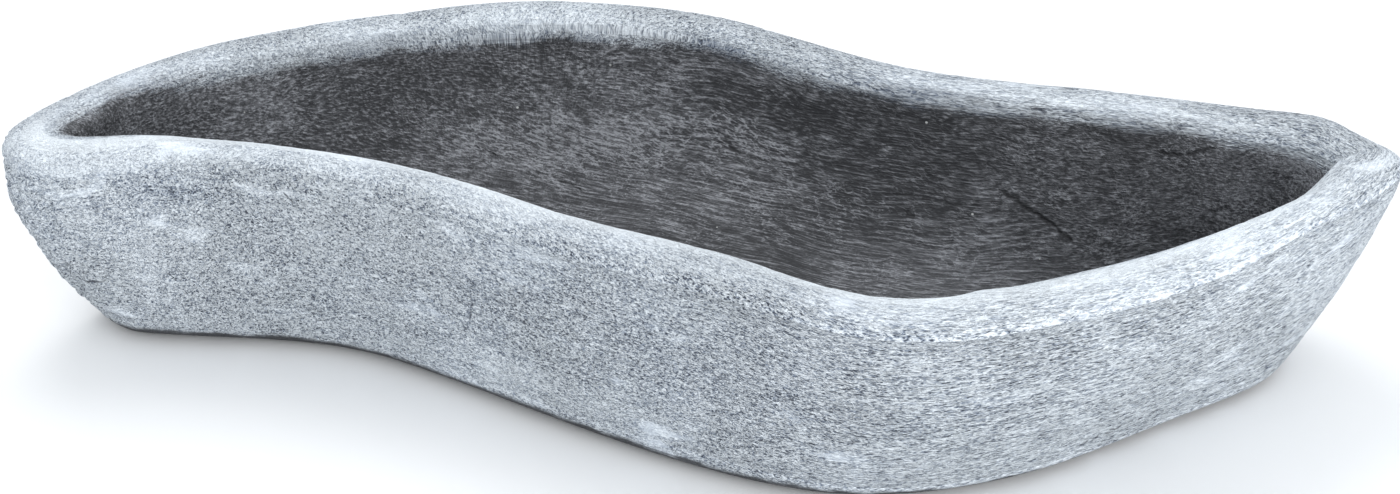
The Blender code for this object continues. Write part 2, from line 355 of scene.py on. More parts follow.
def smoothed(obj, levels, flats):
    """The object's mesh, divided so that the smooth skin still passes through its points.

    Points at the heights of the flats are left as they lie, so that the flats stay flat.
    """
    goal = numbers(obj.data.vertices, "co")
    pull = numbers(obj.data.vertices, "normal")
    for flat in flats:
        pull[np.abs(goal[:, 2] - flat) < NUDGE] = 0
    places = goal.copy()
    modifier = obj.modifiers.new("smooth", "SUBSURF")
    modifier.levels = modifier.render_levels = 1
    for _ in range(FITTING_ROUNDS):
        reached = numbers(evaluated(obj).vertices, "co")[: len(goal)]
        places += pull * np.sum((goal - reached) * pull, axis=1, keepdims=True)
        obj.data.vertices.foreach_set("co", places.ravel())
        obj.data.update()
    modifier.levels = modifier.render_levels = levels
    return evaluated(obj)


def spine_line(bm, layer):
    """X and Y along the middle of the rim's crest, from left to right."""
    ring = np.array([v.co.xy for v in bm.verts if abs(v[layer]) < 2 * NUDGE])
    low, high = ring[:, 0].min(), ring[:, 0].max()
    inset = (high - low) / 20
    xs = np.linspace(low + inset, high - inset, SPINE_POINTS)
    step = xs[1] - xs[0]
    ys = []
    for x in xs:
        near = ring[np.abs(ring[:, 0] - x) < step]
        ys.append((near[:, 1].min() + near[:, 1].max()) / 2)
    for _ in range(4):
        ys[1:-1] = [(a + 2 * b + c) / 4 for a, b, c in zip(ys, ys[1:], ys[2:])]
    return xs, np.array(ys)


def rim_ring(bm, layer):
    """The rim's crest as even points of a closed line, its length, and the points' tree."""
    left = [vert.co.xy for vert in bm.verts if vert[layer] == 0]
    ring = [left.pop()]
    while left:
        nearest = min(left, key=lambda point: (point - ring[-1]).length)
        if (nearest - ring[-1]).length > RING_GAP:
            raise ValueError("the points of the rim's crest don't make one closed line")
        left.remove(nearest)
        ring.append(nearest)
    ring = np.array([*ring, ring[0]])
    ways = np.insert(np.cumsum(np.linalg.norm(np.diff(ring, axis=0), axis=1)), 0, 0)
    even = np.linspace(0, ways[-1], RING_STEPS, endpoint=False)
    line = np.stack([np.interp(even, ways, ring[:, axis]) for axis in (0, 1)], axis=1)
    for reach in RING_SMOOTHING:
        line = (np.roll(line, reach, axis=0) + line + np.roll(line, -reach, axis=0)) / 3
    return line, ways[-1], tree_of([(x, y, 0) for x, y in line])


def tree_of(points):
    """What finds the nearest of some points."""
    tree = kdtree.KDTree(len(points))
    for index, point in enumerate(points):
        tree.insert(point, index)
    tree.balance()
    return tree


def along_rim(point, across, line, total, tree):
    """The point's way along the rim wound on a drum of the rim's length, and its way across.

    The drum closes on itself, so strokes that follow it have no seam.
    """
    _, index, _ = tree.find((point.x, point.y, 0))
    run = line[(index + 1) % len(line)] - line[index - 1]
    offset = np.array(point.xy) - line[index]
    way = index * total / len(line) + float(offset @ run) / math.hypot(*run)
    turn = 2 * math.pi * way / total
    drum = total / (2 * math.pi)
    return Vector((drum * math.cos(turn), drum * math.sin(turn), across))


def along_flow(point, spine):
    """The point with the trough's S taken out, so that strokes run along it."""
    return Vector((point.x, point.y - float(np.interp(point.x, *spine)), point.z))


def divide(bm, left, above):
    """Divides the edges round the faces beyond an X on the left and above a Z once more."""
    for face in bm.faces:
        middle = face.calc_center_median()
        face.tag = middle.x < left and middle.z > above
    edges = [edge for edge in bm.edges if any(face.tag for face in edge.link_faces)]
    bmesh.ops.subdivide_edges(bm, edges=edges, cuts=1, use_grid_fill=True)


def weathering(place, flow, ring, across, shape):
    """How far the surface stands off the smooth casting at a point."""
    outside = ramp(-across, 0.004, 0.030)
    inside = ramp(across, 0.008, 0.026)
    crest = 1 - ramp(abs(across), 0.004, 0.030)
    lump = 0.65 * noise(place * 10) + 0.35 * noise(place * 26)
    height = shape.lumps * lump * (outside + 0.8 * inside + 0.5 * crest)
    bend = noise(place * 13)
    bent = ring + Vector((0, 0, 0.008)) * bend
    long, wide = shape.stroke_length, shape.stroke_width
    stroke = noise(in_strokes(bent, long, long, wide))
    stroke += 0.5 * noise(in_strokes(bent, 0.06, 0.06, 0.006))
    height += shape.strokes * stroke * (outside + 0.35 * crest)
    bent = flow + Vector((0, 0.006, 0.006)) * bend
    if inside > 0:
        fold = noise(in_strokes(bent, 0.17, 0.026, 0.026) + Vector((3.1, 0, 0)))
        ridge = max(0.0, 1 - abs(fold) * 4.5) ** 1.5
        fold = noise(in_strokes(bent, 0.11, 0.013, 0.013) + Vector((0, 7.7, 0)))
        ridge += 0.5 * max(0.0, 1 - abs(fold) * 3.5)
        ridge *= ramp(noise(place * 8 + Vector((5, 2, 9))), -0.25, 0.35)
        height += shape.ridges * (ridge - 0.25) * inside
    if crest > 0:
        height += shape.rim_waves * crest * noise(place * 17 + Vector((0, 4, 0)))
        height -= shape.rim_chips * crest * ramp(noise(place * 120), 0.15, 0.55)
    for centre, reach, swell in SWELLS:
        apart = (place - Vector(centre)).length
        height += shape.swelling * swell * (1 - ramp(apart, 0.1 * reach, reach))
    tip = ramp(-place.x, 0.385, 0.425) * ramp(-across, 0.012, 0.040)
    if tip > 0:
        rough = 0.4 * noise(place * 90) + 0.6 * noise(place * 240)
        rough -= 0.8 * ramp(noise(place * 150), 0.05, 0.30)
        height += shape.tip_raggedness * tip * rough
    return height


def weather(bm, axes, rim, shape):
    """Moves the casting's skin out and in, inside the solid's box."""
    layer = bm.verts.layers.float["across"]
    flows = bm.verts.layers.float_vector.new("flow")
    rings = bm.verts.layers.float_vector.new("ring")
    spine = spine_line(bm, layer)
    bm.normal_update()
    low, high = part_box("planter_body")
    moves = []
    for vert in bm.verts:
        flow = along_flow(vert.co, spine)
        calm = 1.0
        if vert.co.z < shape.floor_height + 0.004:
            apart = drain_distance(vert.co, axes)
            calm = ramp(apart, shape.seat_radius + 0.003, shape.calm_radius)
        if vert[layer] < 0:
            calm *= ramp(vert.co.z, 0.002, 0.014)
        ring = along_rim(vert.co, vert[layer], *rim)
        moves.append(vert.normal * weathering(vert.co, flow, ring, vert[layer], shape) * calm)
        vert[flows] = flow
        vert[rings] = ring
    for vert, move in zip(bm.verts, moves):
        place = vert.co + move
        place.x -= shape.tip_inset * ramp(place.x, 0.40, 0.452) * ramp(place.z, 0.04, 0.08)
        vert.co = [min(max(c, a), b) for c, a, b in zip(place, low, high)]


def meshed(name, bm):
    """A mesh made of a bmesh, which is freed."""
    mesh = bpy.data.meshes.new(name)
    bm.to_mesh(mesh)
    bm.free()
    return mesh


def new_object(name, data):
    """Puts a mesh, light or camera in the scene as an object at the origin."""
    obj = bpy.data.objects.new(name, data)
    bpy.context.scene.collection.objects.link(obj)
    return obj


def turned(profile, sides):
    """A bmesh turned about Z from (radius, height) pairs that start and end on Z."""
    bm = bmesh.new()
    points = [bm.verts.new((radius, 0, height)) for radius, height in profile]
    edges = [bm.edges.new(pair) for pair in zip(points, points[1:])]
    bmesh.ops.spin(
        bm, geom=points + edges, cent=(0, 0, 0), axis=(0, 0, 1), angle=2 * math.pi,
        steps=sides, use_merge=True,
    )
    bmesh.ops.remove_doubles(bm, verts=bm.verts, dist=WELD_DISTANCE)
    bmesh.ops.recalc_face_normals(bm, faces=bm.faces)
    return bm


def drain_cutters(axes, shape):
    """One mesh of three cutters, each a tapered hole under a round seat."""
    reach = shape.seat_height + CUTTER_OVERSHOOT
    narrow = shape.drain_radius - shape.drain_taper * reach / shape.seat_height
    seat, wide = shape.seat_radius, shape.seat_radius + 2 * SEAT_CHAMFER
    top = shape.floor_height - shape.seat_height
    profile = (
        (0, -reach), (narrow, -reach), (shape.drain_radius, 0), (seat, 0),
        (seat, top - SEAT_CHAMFER), (wide, top + SEAT_CHAMFER),
        (wide, top + CUTTER_OVERSHOOT), (0, top + CUTTER_OVERSHOOT),
    )
    made = bmesh.new()
    for axis in axes:
        cutter = turned(profile, CUTTER_SIDES)
        bmesh.ops.translate(cutter, verts=cutter.verts, vec=(*axis, shape.seat_height))
        mesh = meshed("drain_cutter", cutter)
        made.from_mesh(mesh)
        bpy.data.meshes.remove(mesh)
    return new_object("drain_cutters", meshed("drain_cutters", made))


def cut_drains(obj, axes, shape):
    """Cuts the drains and their seats into the weathered casting."""
    cutters = drain_cutters(axes, shape)
    modifier = obj.modifiers.new("drains", "BOOLEAN")
    modifier.operation = "DIFFERENCE"
    modifier.solver = "EXACT"
    modifier.object = cutters
    mesh = evaluated(obj)
    obj.modifiers.clear()
    obj.data = mesh
    bpy.data.objects.remove(cutters)


def readings(mesh):
    """A tree of a mesh's points, and what the attributes hold at them."""
    known = {
        name: numbers(mesh.attributes[name].data, field, parts)
        for name, (_, field, parts) in ATTRIBUTES.items()
    }
    return tree_of(numbers(mesh.vertices, "co")), known


def spread(mesh, tree, known):
    """Gives a mesh's points the attributes of the nearest known points."""
    nearest = [tree.find(vert.co)[1] for vert in mesh.vertices]
    for name, (kind, field, _) in ATTRIBUTES.items():
        if name in mesh.attributes:
            mesh.attributes.remove(mesh.attributes[name])
        made = mesh.attributes.new(name, kind, "POINT")
        made.data.foreach_set(field, known[name][nearest].ravel())


def weathered_casting(shape):
    """The casting with its trowelled and weathered skin, and its drains cut afresh."""
    axes = drain_axes()
    bm = cad_copy("planter_body")
    close_drains(bm, axes, shape)
    measure_across(bm)
    rim = rim_ring(bm, bm.verts.layers.float["across"])
    obj = new_object("trough", meshed("trough", bm))
    flats = (0, shape.relief_height, shape.floor_height)
    bm = bmesh.new()
    bm.from_mesh(smoothed(obj, shape.levels, flats))
    for left, above in FINER_ZONES:
        divide(bm, left, above)
    weather(bm, axes, rim, shape)
    obj.modifiers.clear()
    obj.data = meshed("trough", bm)
    tree, known = readings(obj.data)
    cut_drains(obj, axes, shape)
    spread(obj.data, tree, known)
    obj.data.shade_smooth()
    obj.data.set_sharp_from_angle(angle=CREASE_ANGLE)
    return obj


def stopper_profile(shape):
    """Radius and height pairs of a stopper from its tip up, with the seat at 0."""
    thick = shape.flange_thickness
    grip = (
        (0.72, 0.00), (0.61, 0.16), (0.60, 0.32), (0.70, 0.46), (0.86, 0.57), (0.98, 0.70),
        (1.00, 0.80), (0.94, 0.91), (0.78, 0.975), (0.55, 1.00), (0.40, 0.97),
    )
    points = [
        (0, -shape.shank_length),
        (shape.shank_tip, -shape.shank_length),
        (shape.shank_tip * 0.35 + shape.shank_root * 0.65, -0.3 * shape.shank_length),
        (shape.shank_root, 0),
        (shape.flange_radius, 0),
        (shape.flange_radius, thick * 0.7),
        (shape.flange_radius * 0.94, thick),
        (shape.grip_radius * 0.95, thick),
    ]
    for radius, height in grip:
        points.append((shape.grip_radius * radius, thick + shape.grip_height * height))
    return points + [(0, thick + shape.grip_height * 0.95)]


def moulded_stopper(name, axis, base, shape):
    """A turned rubber stopper with rounded edges and a fluted grip."""
    bm = turned(stopper_profile(shape), shape.sides)
    edges = [
        edge for edge in bm.edges
        if len(edge.link_faces) == 2 and edge.calc_face_angle() > BEVEL_ANGLE
        and max(vert.co.xy.length for vert in edge.verts) > 2 * shape.edge
    ]
    bmesh.ops.bevel(
        bm, geom=edges, offset=shape.edge, offset_type="OFFSET", segments=3, profile=0.5,
        affect="EDGES", clamp_overlap=True, material=-1,
    )
    root = shape.flange_thickness + shape.grip_height * 0.4
    top = shape.flange_thickness + shape.grip_height
    for vert in bm.verts:
        if vert.co.z > root and vert.co.xy.length > shape.grip_radius * 0.5:
            depth = shape.flute_depth * ramp(vert.co.z, root, (root + top) / 2)
            turn = math.atan2(vert.co.y, vert.co.x) * shape.flutes
            vert.co.xy *= 1 - depth / shape.grip_radius * (0.5 - 0.5 * math.cos(turn))
    bmesh.ops.translate(bm, verts=bm.verts, vec=(*axis, base))
    mesh = meshed(name, bm)
    mesh.shade_smooth()
    mesh.set_sharp_from_angle(angle=STOPPER_SHARP_ANGLE)
    return new_object(name, mesh)


# Nodes of the finishes


class Signal:
    """A value in a node tree, whose arithmetic adds the Math nodes for it."""

    def __init__(self, tree, socket):
        self.tree, self.socket = tree, socket

    def __add__(self, other):
        return reckon("ADD", self, other)

    def __mul__(self, other):
        return reckon("MULTIPLY", self, other)

    def __sub__(self, other):
        return reckon("SUBTRACT", self, other)

    def __rsub__(self, other):
        return reckon("SUBTRACT", other, self)

    def __truediv__(self, other):
        return reckon("DIVIDE", self, other)

    def __rtruediv__(self, other):
        return reckon("DIVIDE", other, self)

    def __abs__(self):
        return reckon("ABSOLUTE", self)


def feed(socket, value):
    """Links a signal to a socket, or sets the socket to a plain value."""
    if isinstance(value, Signal):
        value.tree.links.new(value.socket, socket)
    else:
        socket.default_value = value


def add(tree, kind, inputs=None, **settings):
    """A new node with its inputs and settings."""
    node = tree.nodes.new(kind)
    for name, value in settings.items():
        setattr(node, name, value)
    for name, value in (inputs or {}).items():
        feed(node.inputs[name], value)
    return node


def output(tree, name, kind, inputs=None, **settings):
    """What a new node puts out under a name."""
    return Signal(tree, add(tree, kind, inputs, **settings).outputs[name])


def reckon(operation, *values, clamp=False):
    """The result of a Math node."""
    tree = next(value.tree for value in values if isinstance(value, Signal))
    inputs = dict(enumerate(values))
    return output(tree, "Value", "ShaderNodeMath", inputs, operation=operation, use_clamp=clamp)


def reckon_vector(operation, first, second=None):
    """The result of a Vector Math node, a number where the operation gives one."""
    inputs = {0: first}
    if second is not None:
        inputs["Scale" if operation == "SCALE" else 1] = second
    name = "Value" if operation in ("DOT_PRODUCT", "LENGTH") else "Vector"
    return output(first.tree, name, "ShaderNodeVectorMath", inputs, operation=operation)


def split(vector):
    """The X, Y and Z of a vector."""
    node = add(vector.tree, "ShaderNodeSeparateXYZ", {"Vector": vector})
    return [Signal(vector.tree, socket) for socket in node.outputs]


def joined(x, y, z):
    """A vector from its X, Y and Z."""
    return output(x.tree, "Vector", "ShaderNodeCombineXYZ", {"X": x, "Y": y, "Z": z})


def ranged(value, low, high, bottom=0, top=1, smooth=True):
    """The value mapped from one span to another and held inside it."""
    inputs = {"Value": value, "From Min": low, "From Max": high, "To Min": bottom, "To Max": top}
    kind = "SMOOTHSTEP" if smooth else "LINEAR"
    return output(value.tree, "Result", "ShaderNodeMapRange", inputs, interpolation_type=kind)


def centred(value, amount):
    """A 0 to 1 value turned into one that swings by the amount each way."""
    return (value - 0.5) * (2 * amount)


def noise_of(vector, scale, detail, roughness, distortion=0, name="Fac"):
    """What a Noise Texture puts out."""
    inputs = {
        "Vector": vector, "Scale": scale, "Detail": detail, "Roughness": roughness,
        "Distortion": distortion,
    }
    return output(vector.tree, name, "ShaderNodeTexNoise", inputs)


def wavered(vector, scale, detail, waver):
    """The vector, bent by noise."""
    bend = noise_of(vector, scale, detail, 0.5, name="Color")
    bend = reckon_vector("SUBTRACT", bend, (0.5, 0.5, 0.5))
    return reckon_vector("ADD", vector, reckon_vector("SCALE", bend, waver))


def curve_of(value, stops):
    """A number read off a Color Ramp with the given (position, value) stops."""
    node = add(value.tree, "ShaderNodeValToRGB", {"Fac": value})
    elements = node.color_ramp.elements
    while len(elements) < len(stops):
        elements.new(0.5)
    for element, (place, level) in zip(elements, stops):
        element.position = place
        element.color = (level, level, level, 1)
    return Signal(value.tree, node.outputs["Color"])


def tinted(value):
    """A colour property as the four numbers a socket takes."""
    return value if isinstance(value, Signal) else (*value, 1)


def blended(factor, first, second, kind="RGBA"):
    """Two colours, or numbers, mixed by a factor."""
    inputs = {"Factor": factor, "A": tinted(first), "B": tinted(second)}
    return output(factor.tree, "Result", "ShaderNodeMix", inputs, data_type=kind)


def group(build):
    """A node group of a function, whose arguments without a default are vectors."""
    tree = bpy.data.node_groups.new(build.__name__, "ShaderNodeTree")
    start = add(tree, "NodeGroupInput")
    given = []
    for label, argument in inspect.signature(build).parameters.items():
        number = argument.default is not argument.empty
        kind = "NodeSocketFloat" if number else "NodeSocketVector"
        socket = tree.interface.new_socket(label.capitalize(), in_out="INPUT", socket_type=kind)
        if number:
            socket.default_value = argument.default
        given.append(label.capitalize())
    made = build(*(Signal(tree, start.outputs[label]) for label in given))
    for label in made:
        tree.interface.new_socket(label, in_out="OUTPUT", socket_type="NodeSocketFloat")
    add(tree, "NodeGroupOutput", made)
    return tree


def placed(build, vector, **values):
    """What a function's node group puts out, placed with its own values."""
    made = bpy.data.node_groups.get(build.__name__) or group(build)
    inputs = {label.capitalize(): value for label, value in values.items()}
    inputs["Vector"] = vector
    node = add(vector.tree, "ShaderNodeGroup", inputs, node_tree=made)
    return [Signal(vector.tree, socket) for socket in node.outputs]


def brush_strokes(vector, length=0.05, depth=0.05, width=0.004, waver=0.004):
    """Long strokes of a brush or trowel, from 0 to 1."""
    moved = wavered(vector, 16, 1, waver)
    moved = reckon_vector("DIVIDE", moved, joined(length, depth, width))
    return {"Strokes": noise_of(moved, 1, 3, 0.6)}


def crinkled_grain(vector, size=0.002):
    """The crinkled grain of a dabbed coat: soft grains, and pale worms with a dark edge."""
    scale = 1 / size
    grain = noise_of(vector, scale, 0.5, 0.5, 1)
    worm = abs(noise_of(vector, scale * 0.6, 0.5, 0.5, 1.2) - 0.5)
    light = ranged(worm, 0, 0.10, 1, 0)
    dark = ranged(abs(worm - 0.17), 0, 0.09, 1, 0)
    return {"Grain": ranged(grain, 0.28, 0.72, smooth=False), "Worms": light - dark}


def scattered_dots(vector, spacing=0.01, size=0.001, share=0.1):
    """Small round dots, one to a cell in a share of the cells."""
    tree = vector.tree
    scale = 1 / spacing
    cells = add(tree, "ShaderNodeTexVoronoi", {"Vector": vector, "Scale": scale})
    tint = Signal(tree, cells.outputs["Color"])
    pick = add(tree, "ShaderNodeSeparateColor", {"Color": tint})
    chosen = reckon("LESS_THAN", Signal(tree, pick.outputs["Red"]), share)
    size = size * scale * ranged(Signal(tree, pick.outputs["Green"]), 0, 1, 0.4, 1)
    apart = Signal(tree, cells.outputs["Distance"])
    return {"Dots": ranged(apart, size * 0.6, size, 1, 0) * chosen}


def soft_patch(vector, centre, reach):
    """A soft-edged patch with an uneven outline round a centre."""
    offset = reckon_vector("DIVIDE", reckon_vector("SUBTRACT", vector, centre), reach)
    uneven = centred(noise_of(vector, 45, 3, 0.6), 0.9)
    apart = reckon_vector("LENGTH", offset) + uneven
    return {"Patch": ranged(apart, 0.45, 1.05, 1, 0)}


def crack_line(vector, start, end, width=0.001, waver=0.004):
    """A thin wavering line between two points."""
    run = reckon_vector("SUBTRACT", end, start)
    offset = reckon_vector("SUBTRACT", wavered(vector, 110, 3, waver), start)
    dots = [reckon_vector("DOT_PRODUCT", one, run) for one in (offset, run)]
    along = reckon("DIVIDE", *dots, clamp=True)
    apart = reckon_vector("SUBTRACT", offset, reckon_vector("SCALE", run, along))
    fade = ranged(along * (1 - along), 0, 0.16, 0.2, 1)
    return {"Line": ranged(reckon_vector("LENGTH", apart), 0, width * fade, 1, 0)}


def blank_material(name):
    """A material with a Principled BSDF, and its node tree and shader."""
    made = bpy.data.materials.new(name)
    made.use_nodes = True
    return made, made.node_tree, made.node_tree.nodes["Principled BSDF"]


def brushed(vector, long, wide, waver):
    """Strokes that follow the rim round the outer wall."""
    return placed(brush_strokes, vector, length=long, depth=long, width=wide, waver=waver)[0]


def dragged(vector, long, wide, waver):
    """Strokes that run along the inside of the trough."""
    return placed(brush_strokes, vector, length=long, depth=wide, width=wide, waver=waver)[0]


def ridged(vector, long, wide, waver, sharp):
    """Thin crinkled ridges that run along the inside of the trough."""
    return ranged(abs(dragged(vector, long, wide, waver) - 0.5), 0, sharp, 1, 0)


# Stops along a curve, each a position from 0 to 1 and a value there
EDGE_NEARER = (
    (0.07, 1), (0.16, 0.3), (0.60, 0.3), (0.70, 0.62), (0.84, 0.66), (0.96, 0),
)
COAT_UPWARD = (
    (0.00, 0.64), (0.16, 0.73), (0.30, 0.68), (0.44, 0.57), (0.56, 0.60), (0.68, 0.68),
    (0.76, 0.80), (0.81, 0.90), (0.85, 0.76), (0.89, 0.42), (0.93, 0.10), (1.00, 0),
)
COAT_ALONG = (
    (0.00, 0.60), (0.15, 0.58), (0.35, 0.45), (0.52, 0.36), (0.68, 0.58), (0.82, 0.90),
    (1.00, 1.00),
)
# Patches, each with its centre and reach in millimetres and the amount it adds
COAT_PATCHES = (
    ((-345, -18, 135), (55, 40, 18), -0.20),
    ((-435, -10, 120), (20, 30, 35), -0.12),
    ((186, -195, 152), (45, 30, 12), 0.30),
    ((150, -209, 127), (35, 30, 12), 0.28),
    ((255, -175, 130), (75, 35, 11), -0.06),
    ((265, -145, 60), (150, 100, 50), 0.15),
    ((310, -120, 45), (120, 90, 50), 0.30),
    ((180, -175, 25), (110, 70, 30), 0.27),
    ((370, -70, 85), (70, 60, 40), 0.14),
    ((-395, -10, 85), (70, 40, 45), 0.15),
    ((-205, -50, 115), (110, 60, 40), 0.28),
    ((-90, 185, 158), (90, 30, 20), 0.22),
    ((-100, -100, 40), (100, 60, 30), 0.10),
    ((305, -144, 107), (70, 50, 20), 0.18),
    ((-116, -94, 39), (70, 40, 11), 0.24),
    ((-330, -12, 85), (60, 30, 30), 0.14),
    ((20, 155, 140), (60, 20, 12), -0.30),
    ((400, 14, 142), (60, 30, 18), -0.34),
)
STONE_PATCHES = (
    ((-120, 143, 72), (110, 45, 26), 0.20),
    ((-345, 100, 120), (120, 70, 45), 0.16),
    ((345, 26, 120), (90, 50, 45), 0.16),
    ((130, 20, 44), (100, 60, 20), 0.10),
    ((-60, 160, 95), (80, 20, 14), 0.08),
    # Painted shade: the back wall is darkened under the lip.
    ((60, 130, 110), (110, 50, 18), -0.22),
    ((20, 50, 45), (90, 60, 20), -0.10),
    ((395, 12, 138), (35, 30, 22), 0.18),
)
CURLY_PATCHES = (
    ((-60, 135, 72), (80, 50, 24), 0.7),
    ((-125, 143, 80), (60, 30, 20), 0.6),
    ((10, 135, 90), (60, 40, 20), 0.8),
    ((75, 85, 58), (80, 50, 20), 0.5),
)
# Cracks outside and then inside, each from a start to an end, with its width and waver,
# all in millimetres
CRACKS = (
    ((-415, -6.5, 53.5), (-396, -11, 57.5), 2.4, 8),
    ((-412, -17, 137), (-402, -20, 127), 1, 7),
    ((-270, -29, 137), (-256, -34, 125), 1, 6),
    ((-145, -79, 85), (-148.5, -77, 70), 1, 6),
    ((-118, -98, 86), (-100, -108, 80), 0.9, 8),
    ((222, -158.5, 20), (262, -138.5, 28), 1.7, 10),
    ((255, -142, 30), (292, -118.5, 29), 1.5, 10),
    ((205, 54.5, 89), (231, 45, 73), 3, 6),
    ((227, 46, 75.5), (257, 33, 59), 2.6, 8),
    ((-156, 141, 70), (-111, 127, 59), 1, 5),
    ((-113, 127.5, 59.5), (-78, 111, 52), 0.9, 5),
    ((20, 129, 80), (30, 125, 76), 2.6, 6),
    ((143, 62, 66), (149, 60, 64), 3, 6),
    ((305, 37, 130), (325, 33, 127), 2.6, 8),
    ((323, 33, 128), (344, 29.7, 137), 3, 8),
)
CRACK_SHADE = (0.018, 0.018, 0.02)


def metres(millimetres):
    """A point or a length in metres."""
    if isinstance(millimetres, tuple):
        return tuple(part / 1000 for part in millimetres)
    return millimetres / 1000


def patched(place, value, patches):
    """The value raised or lowered by the amount of each soft patch."""
    for centre, reach, amount in patches:
        patch = placed(soft_patch, place, centre=metres(centre), reach=metres(reach))[0]
        value = value + patch * amount
    return value


def cracked(place):
    """The darkest of the crack lines, each on a wall that faces front or back."""
    level = (1, 0.25, 1)
    place = reckon_vector("MULTIPLY", place, level)
    total = None
    for row in CRACKS:
        start, end, width, waver = (metres(given) for given in row)
        start, end = (tuple(a * b for a, b in zip(point, level)) for point in (start, end))
        line = placed(crack_line, place, start=start, end=end, width=width, waver=waver)[0]
        total = reckon("MAXIMUM", total, line) if total else line
    return total


def casting_readings(tree, coat):
    """Where a point lies on the casting, and the noises its finishes share."""
    read = SimpleNamespace(place=output(tree, "Object", "ShaderNodeTexCoord"))
    for name, kind in (("flow", "Vector"), ("ring", "Vector"), ("across", "Fac")):
        setattr(read, name, output(tree, kind, "ShaderNodeAttribute", attribute_name=name))
    read.x, _, read.z = split(read.place)
    flow_x, read.flow_y, flow_z = split(read.flow)
    read.patches = noise_of(read.place, 9, 3, 0.55)
    read.blots = noise_of(read.place, 38, 3, 0.6)
    read.fine = brushed(read.ring, coat.stroke_length, coat.stroke_width, 0.006)
    read.hairs = brushed(read.ring, 0.075, 0.0013, 0.008)
    # The crinkles are dabbed on the left and drawn out along the rim towards the right
    lined = ranged(flow_x, -0.30, 0.10)
    narrow = ranged(lined, 0, 1, 1, 0.35, smooth=False)
    lengthwise = flow_x * 0.20 + reckon("SMOOTH_MIN", flow_x, 0.04, 0.20) * 0.50
    upward = reckon("MULTIPLY_ADD", read.across, 1.35, 0.22) - flow_z
    upward = reckon("MULTIPLY_ADD", upward, lined, flow_z)
    dashes = joined(lengthwise, read.flow_y * narrow, upward)
    read.grain, read.worms = placed(crinkled_grain, dashes, size=coat.speckle)
    return read


def coat_cover(read, coat):
    """How thick the whitewash lies, with a painted highlight on the front inner lip, the crinkles
    in it, and the way over to its edge.
    """
    along = ranged(read.x, -0.46, 0.46, smooth=False)
    reach = read.across + (curve_of(along, EDGE_NEARER) - 0.3) * coat.shift
    ragged = centred(read.blots, 0.012) + centred(read.fine, 0.010) + centred(read.grain, 0.003)
    edge = reach + ragged
    front = ranged(read.flow_y, -0.05, -0.02, 1, 0)
    band = ranged(reach, -0.022, -0.010) * ranged(reach, 0.010, 0.020, 1, 0) * front
    smear = ranged(brushed(read.ring, 0.060, 0.020, 0.03), 0.56, 0.72, 0, 0.6)
    lively = reckon("MAXIMUM", ranged(read.patches, 0.35, 0.65, 0.70, 1.2) - smear, 0.2)
    lively = lively * (1 - band * 0.4) * ranged(reach, 0.004, 0.018, 1, 0.5)
    crinkles = (centred(read.grain, 0.88) + read.worms * 0.62) * lively

    # From the foot up over the rim and down inside, and from the left to the right
    cover = curve_of(ranged(edge, -0.20, 0.05, smooth=False), COAT_UPWARD)
    cover = cover + centred(curve_of(along, COAT_ALONG), 0.25) + band * 0.03
    cover = patched(read.place, cover, COAT_PATCHES)
    cover = cover + centred(read.patches, 0.30) + centred(read.blots, 0.26)
    broad = brushed(read.ring, 0.15, 0.011, 0.02)
    drawn = centred(broad, 0.34) + centred(read.fine, 0.44) + centred(read.hairs, 0.42)
    cover = cover + drawn * ranged(read.x, 0.05, 0.25, 0.9, 1.6)
    cover = reckon("MINIMUM", cover, 0.87) + crinkles
    cover = cover - ranged(edge, coat.lip_reach, coat.lip_reach + 0.022, 0, 1.2)
    # Painted highlight: the coat is made whiter along the front inner lip, where light catches its
    # edge.
    lip = ranged(reach, 0.0005, 0.003) * ranged(reach, 0.014, 0.019, 1, 0) * front
    return cover + lip * 0.55, crinkles, edge


def bare_stone(read, stone):
    """The colour of the charcoal stone inside, with painted shade under the back lip, and its
    height in metres.
    """
    marks = dragged(read.flow, stone.stroke_length, stone.stroke_width, 0.012)
    long_marks = dragged(read.flow, 0.14, 0.012, 0.03)
    curly = patched(read.place, ranged(read.blots, 0.42, 0.62, 0.30, 0.8), CURLY_PATCHES)
    slanted = output(
        marks.tree, "Vector", "ShaderNodeVectorRotate",
        {"Vector": read.flow, "Angle": math.radians(-22)}, rotation_type="Y_AXIS",
    )
    small = ridged(read.flow, 0.014, 0.0024, 0.012, 0.06)
    large = ridged(slanted, 0.013, 0.0040, 0.016, 0.055)
    curls = (small * 0.5 + large) * curly
    folds = ridged(read.flow, 0.030, 0.0075, 0.026, 0.045)
    folds = folds * ranged(read.patches, 0.44, 0.60, 0.1, 1)
    strength = ranged(read.x, 0.05, 0.25, 0.62, 0.50)
    tone = ranged(marks, 0.40, 0.72, 0, strength) + 0.11 + curls * 0.46 - curly * 0.10
    # The patches lighten or darken the stone in places, and paint shade on the back wall under the
    # lip.
    tone = patched(read.place, tone, STONE_PATCHES) + centred(long_marks, 0.26)
    tone = tone + centred(read.patches, 0.22) + centred(read.grain, 0.16) + folds * 0.22
    tone = reckon("POWER", reckon("MAXIMUM", tone, 0), 1.8)
    colour = blended(ranged(tone, 0, 1, smooth=False), stone.dark, stone.light)
    lime = placed(scattered_dots, read.place, spacing=0.011, size=0.0011, share=0.16)[0]
    height = marks * 1.6 + curls * 0.35 + read.grain * 0.12 + long_marks * 1.4
    return blended(lime, colour, stone.speck), height * stone.bump


